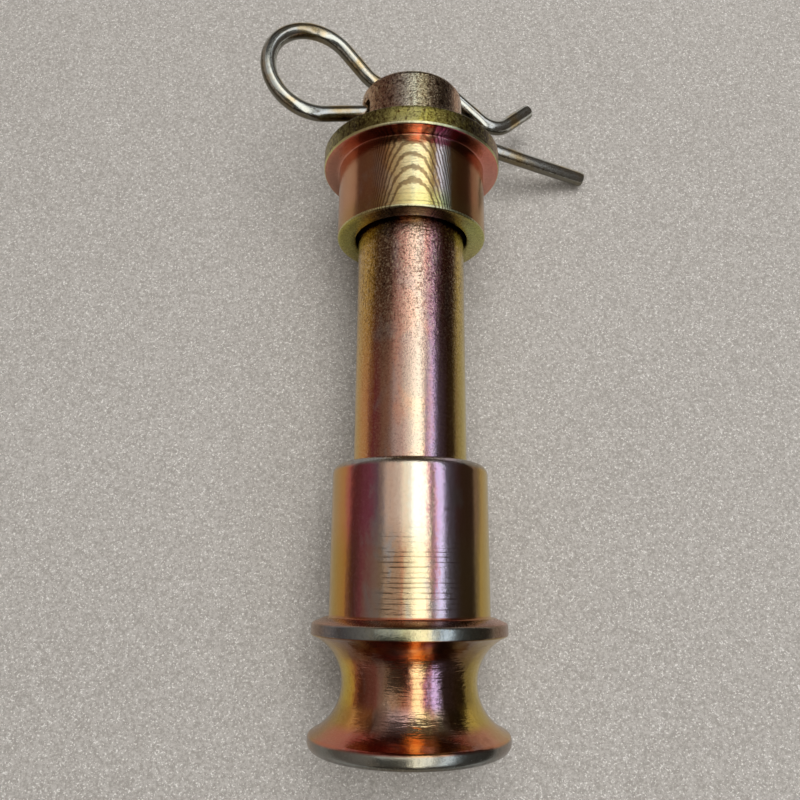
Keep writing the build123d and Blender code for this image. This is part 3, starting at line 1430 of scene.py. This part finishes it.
@dataclass
class RClip:
    """The spring clip, bent from one length of wire through the cross hole.

    The flare_angle and bend_step are in degrees, and a bend's radius is that of the
    wire's centre line.
    """

    wire_diameter: float = 3.8
    end_break: float = 0.4
    cross_hole_play: float = 0.29
    seat_gap: float = 0.5
    eye_side_gap: float = 0.3
    leg_reach: float = 38.4
    heel_inset: float = 5.3
    heel_radius: float = 7.2
    eye_radius: float = 11.4
    eye_rise: float = 5.5
    neck_offset: float = 8.3
    neck_radius: float = 8.1
    arch_offset: float = 6.6
    arch_rise: float = 5.3
    arch_radius: float = 8.4
    waist_gap: float = 9.4
    waist_drop: float = 0.9
    waist_radius: float = 6.7
    flare_angle: float = 47.0
    flare_length: float = 9.2
    sides: int = 48
    straight_pitch: float = 1.5
    bend_step: float = 3.5
    crease: float = 40.0
    pin: HitchPin = field(default_factory=HitchPin)

    def __post_init__(self) -> None:
        """Works out how the leg leans in its hole and how far the pin is rolled."""
        pin = self.pin
        self.wire_radius = self.wire_diameter / 2
        play = pin.cross_hole_diameter - self.wire_diameter - self.cross_hole_play
        self.lean = atan(play / pin.shaft_diameter)
        self.leg_end = pin.shaft_radius + self.leg_reach
        run = self.leg_end * cos(self.lean)
        floor_reach = hypot(run, self.wire_radius)
        roll = asin(pin.flange_radius / floor_reach) - atan2(self.wire_radius, run)
        self.hole_direction = Vector((cos(roll), 0, -sin(roll)))
        self.normal = Vector((sin(roll), 0, cos(roll)))
        self.leg = self.hole_direction * cos(self.lean) - Vector((0, sin(self.lean), 0))
        self.rise = self.normal.cross(self.leg)

    def place(self, spot: Vector) -> Vector:
        """Gives a point of the clip's plane in the frame.

        Args:
            spot: Its distance from the pin's axis towards the leg's free end, and from
                the leg's centre line towards the pin's tip.

        Returns:
            The point.
        """
        origin = Vector((0, self.pin.hole_along, 0))
        return origin + self.leg * spot.x + self.rise * spot.y

    def bends(self) -> list[tuple[Vector, float, int]]:
        """Works out the heel, eye, neck, arch and waist.

        Returns:
            The centre, radius and sense of each bend, 1 where it is counter-clockwise.
        """
        shaft = self.pin.shaft_radius
        end_at_neck = (self.pin.hole_to_tip - self.neck_offset * sin(self.lean)) / cos(self.lean)
        neck_rise = end_at_neck + self.wire_radius + self.seat_gap
        eye_offset = shaft + self.eye_side_gap + self.wire_radius + self.eye_radius
        arch_height = neck_rise + self.arch_rise - self.arch_radius
        waist_height = neck_rise - self.waist_drop + self.waist_radius
        return [
            (Vector((self.heel_inset - shaft, -self.heel_radius)), self.heel_radius, 1),
            (Vector((-eye_offset, self.eye_rise)), self.eye_radius, -1),
            (Vector((-self.neck_offset, neck_rise + self.neck_radius)), self.neck_radius, 1),
            (Vector((self.arch_offset, arch_height)), self.arch_radius, -1),
            (Vector((shaft + self.waist_gap, waist_height)), self.waist_radius, 1),
        ]

    def draw_straight(self, start: Vector, end: Vector) -> None:
        """Draws the wire straight from one point of its plane to another.

        Args:
            start: Where the wire's end is now.
            end: Where it goes.
        """
        way = self.place(end) - self.place(start)
        steps = max(1, ceil(way.length / self.straight_pitch))
        for _ in range(steps):
            bpy.ops.mesh.extrude_edges_move(
                TRANSFORM_OT_translate={"value": tuple(way / steps * MM)}
            )

    def bend(self, centre: Vector, swept: float) -> None:
        """Bends the wire round a former.

        Args:
            centre: Centre of the former, in the clip's plane.
            swept: Angle in degrees, counter-clockwise where it is above nought.
        """
        bpy.ops.mesh.spin(
            steps=max(3, ceil(abs(swept) / self.bend_step)),
            angle=radians(-swept),
            center=tuple(self.place(centre) * MM),
            axis=tuple(self.normal),
        )

    def build(self) -> bpy.types.Object:
        """Draws the wire from the leg's free end to the flared end.

        Returns:
            The finished clip.
        """
        bends = self.bends()
        headings = [180.0]
        for (near, near_radius, turn), (far, far_radius, _) in zip(bends, bends[1:]):
            across = far - near
            cross = turn * asin((near_radius + far_radius) / across.length)
            headings.append(degrees(atan2(across.y, across.x) + cross))
        headings.append(self.flare_angle)

        here = Vector((self.leg_end, 0.0))
        wire = start_from(
            bpy.ops.mesh.primitive_circle_add,
            "bent_clip",
            vertices=self.sides,
            radius=self.wire_radius * MM,
            fill_type="NOTHING",
            location=self.place(here) * MM,
            rotation=self.leg.to_track_quat("Z", "Y").to_euler(),
        )
        bpy.ops.mesh.select_mode(type="EDGE")
        for (centre, radius, turn), arriving, leaving in zip(bends, headings, headings[1:]):
            start_angle = radians(arriving - 90 * turn)
            swept = turn * ((turn * (leaving - arriving)) % 360)
            start = centre + Vector((cos(start_angle), sin(start_angle))) * radius
            self.draw_straight(here, start)
            self.bend(centre, swept)
            end_angle = start_angle + radians(swept)
            here = centre + Vector((cos(end_angle), sin(end_angle))) * radius
        flare = radians(self.flare_angle)
        self.draw_straight(here, here + Vector((cos(flare), sin(flare))) * self.flare_length)
        self.close_ends(wire)
        finish_mesh(wire, self.crease)
        return wire

    def close_ends(self, wire: bpy.types.Object) -> None:
        """Closes the two cut ends and breaks their edges.

        Args:
            wire: The bent wire, being edited.
        """
        bpy.ops.mesh.select_all(action="DESELECT")
        bpy.ops.mesh.select_non_manifold()
        bpy.ops.mesh.fill_holes(sides=0)
        # Only the two caps have more than four sides.
        pick(wire, Element.FACE, lambda face: len(face.verts) > 4)
        bpy.ops.mesh.region_to_loop()
        bpy.ops.mesh.bevel(
            offset=self.end_break * MM, segments=3, profile=0.5, affect="EDGES"
        )


# ----------------------------------------------------------------------------------------
# Studio
# ----------------------------------------------------------------------------------------


@dataclass(frozen=True)
class SoftBox:
    """A soft lamp that runs along the pin, turned over it by its bearing in degrees.

    The spread is the angle that it fills across the pin, the strength is how bright its
    face looks, the middle is its place along the pin, and the tilt leans it to the head.
    """

    name: str
    colour: Colour
    bearing: float
    spread: float
    strength: float
    length: float
    middle: float
    distance: float = 900.0
    tilt: float = 0.0
    shows_in_metal: bool = True

    def hang(self) -> None:
        """Hangs the lamp."""
        width = 2 * self.distance * tan(radians(self.spread / 2)) * MM
        lamp = bpy.data.lights.new(self.name, "AREA")
        lamp.shape = "RECTANGLE"
        lamp.size = width
        lamp.size_y = self.length * MM
        lamp.energy = self.strength * pi * width * self.length * MM
        lamp.color = self.colour
        box = bpy.data.objects.new(self.name, lamp)
        bpy.context.scene.collection.objects.link(box)
        about_y = Matrix.Rotation(radians(self.bearing), 3, "Y")
        turned = Matrix.Rotation(radians(self.tilt), 3, "X") @ about_y
        box.location = turned @ Vector((0, 0, self.distance * MM))
        box.location.y += self.middle * MM
        box.rotation_euler = turned.to_euler()
        box.visible_glossy = self.shows_in_metal


@dataclass(frozen=True)
class Flag:
    """A dark card, as a studio stands beside bright metal. It shows only in the metal."""

    name: str
    shade: float
    across: float
    along: float
    height: float
    width: float
    turned: bool = False

    def stand(self, level: float) -> None:
        """Stands the card on the floor.

        Args:
            level: Height of the floor.
        """
        bpy.ops.object.select_all(action="DESELECT")
        bpy.ops.mesh.primitive_plane_add(
            size=1.0,
            location=Vector((self.across, self.along, level + self.height / 2)) * MM,
            rotation=(0, pi / 2, pi / 2 if self.turned else 0),
        )
        flag = bpy.context.object
        flag.name = self.name
        flag.scale = (self.height * MM, self.width * MM, 1.0)
        bpy.ops.object.transform_apply(location=True, rotation=True, scale=True)
        flag.data.materials.append(FlagCloth(self.name, self.shade).make())
        flag.visible_camera = False
        flag.visible_shadow = False
        flag.visible_diffuse = False


LAMPS = (
    # name, colour, bearing, spread, strength, length, middle
    SoftBox("key_strip", (1.0, 0.97, 0.92), 15.5, 25.0, 1.35, 1900.0, -150.0),
    SoftBox("side_strip", (0.95, 0.95, 1.0), 42.0, 14.0, 1.05, 1900.0, -150.0),
    SoftBox("ceiling_glow", (1.0, 0.97, 0.95), -25.0, 24.0, 0.42, 900.0, 350.0),
    SoftBox("near_glow", (1.0, 0.97, 0.93), -5.0, 15.0, 0.75, 900.0, 350.0),
    SoftBox("front_window", (1.0, 0.97, 0.92), 8.0, 9.0, 1.1, 330.0, 0.0, tilt=56.0),
    SoftBox(
        "floor_fill",
        (1.0, 0.99, 0.98),
        bearing=6.0,
        spread=45.0,
        strength=3.2,
        length=2450.0,
        middle=1500.0,
        distance=3000.0,
        shows_in_metal=False,
    ),
)
FLAGS = (
    Flag("flag_right", 0.14, across=130.0, along=150.0, height=115.0, width=2600.0),
    Flag("flag_left", 0.30, across=-460.0, along=150.0, height=600.0, width=2600.0),
    Flag("flag_front", 0.05, across=0.0, along=-1000.0, height=700.0, width=1000.0, turned=True),
    Flag("flag_back", 0.08, across=0.0, along=1100.0, height=600.0, width=1000.0, turned=True),
)


@dataclass
class Studio:
    """A pale floor, soft lamps, four dark flags, a dim room and the camera."""

    floor_size: float = 5000.0
    horizon: Colour = (0.50, 0.49, 0.47)
    ceiling: Colour = (0.06, 0.058, 0.055)
    horizon_rise: float = 0.06
    ceiling_rise: float = 0.55
    lens: float = 32.4
    eye: Triple = (0.57, 7.06, 160.90)
    turn: Triple = (0.24897, 0.01785, 0.00320)

    def lay_floor(self) -> None:
        """Lays the floor under the lowest point of the part."""
        bpy.ops.object.select_all(action="DESELECT")
        bpy.ops.mesh.primitive_plane_add(
            size=self.floor_size * MM, location=(0, 0, cad_box[0][2])
        )
        floor = bpy.context.object
        floor.name = "floor"
        bpy.ops.object.transform_apply(location=True, rotation=True, scale=True)
        floor.data.materials.append(PlainFloor().make())

    def light_room(self) -> None:
        """Gives the room a pale horizon and a dimmer ceiling."""
        world = bpy.data.worlds.new("room")
        bpy.context.scene.world = world
        world.use_nodes = True
        nodes, links = world.node_tree.nodes, world.node_tree.links
        nodes.clear()
        bearing = nodes.new("ShaderNodeTexCoord")
        parts = nodes.new("ShaderNodeSeparateXYZ")
        ramp = nodes.new("ShaderNodeValToRGB")
        ground = nodes.new("ShaderNodeBackground")
        output = nodes.new("ShaderNodeOutputWorld")
        low, high = ramp.color_ramp.elements
        low.position, high.position = self.horizon_rise, self.ceiling_rise
        low.color, high.color = (*self.horizon, 1.0), (*self.ceiling, 1.0)
        links.new(bearing.outputs["Generated"], parts.inputs[0])
        links.new(parts.outputs["Z"], ramp.inputs[0])
        links.new(ramp.outputs[0], ground.inputs["Color"])
        links.new(ground.outputs[0], output.inputs["Surface"])

    def place_camera(self) -> None:
        """Places the camera over the grip, looking down at the pin."""
        eye = bpy.data.cameras.new("camera")
        eye.lens = self.lens
        camera = bpy.data.objects.new("camera", eye)
        bpy.context.scene.collection.objects.link(camera)
        about_x, about_y, about_z = (
            Matrix.Rotation(angle, 3, axis) for angle, axis in zip(self.turn, "XYZ")
        )
        camera.location = Vector(self.eye) * MM
        camera.rotation_euler = (about_x @ about_y @ about_z).to_euler()
        bpy.context.scene.camera = camera

    def set_up(self) -> None:
        """Sets up the whole studio."""
        bpy.context.scene.view_settings.view_transform = "Standard"
        self.place_camera()
        self.lay_floor()
        for lamp in LAMPS:
            lamp.hang()
        for flag in FLAGS:
            flag.stand(cad_box[0][2] / MM)
        self.light_room()


def main() -> None:
    """Sets up the studio, builds and dresses the pieces, and notes the boxes."""
    logging.basicConfig(level=logging.INFO, format="%(name)s: %(message)s")
    Studio().set_up()
    clip = RClip()
    dress(
        clip.pin.build(clip.hole_direction),
        clip.pin.finish().make(),
        "pin",
        "pin",
    )
    bush = FlangedBush()
    dress(bush.build(), bush.finish().make(), "bush", "flanged_bush")
    wire = SpringWire(tuple(clip.normal), clip.wire_radius)
    dress(clip.build(), wire.make(), "clip", "r_clip")


if __name__ == "__main__":
    main()
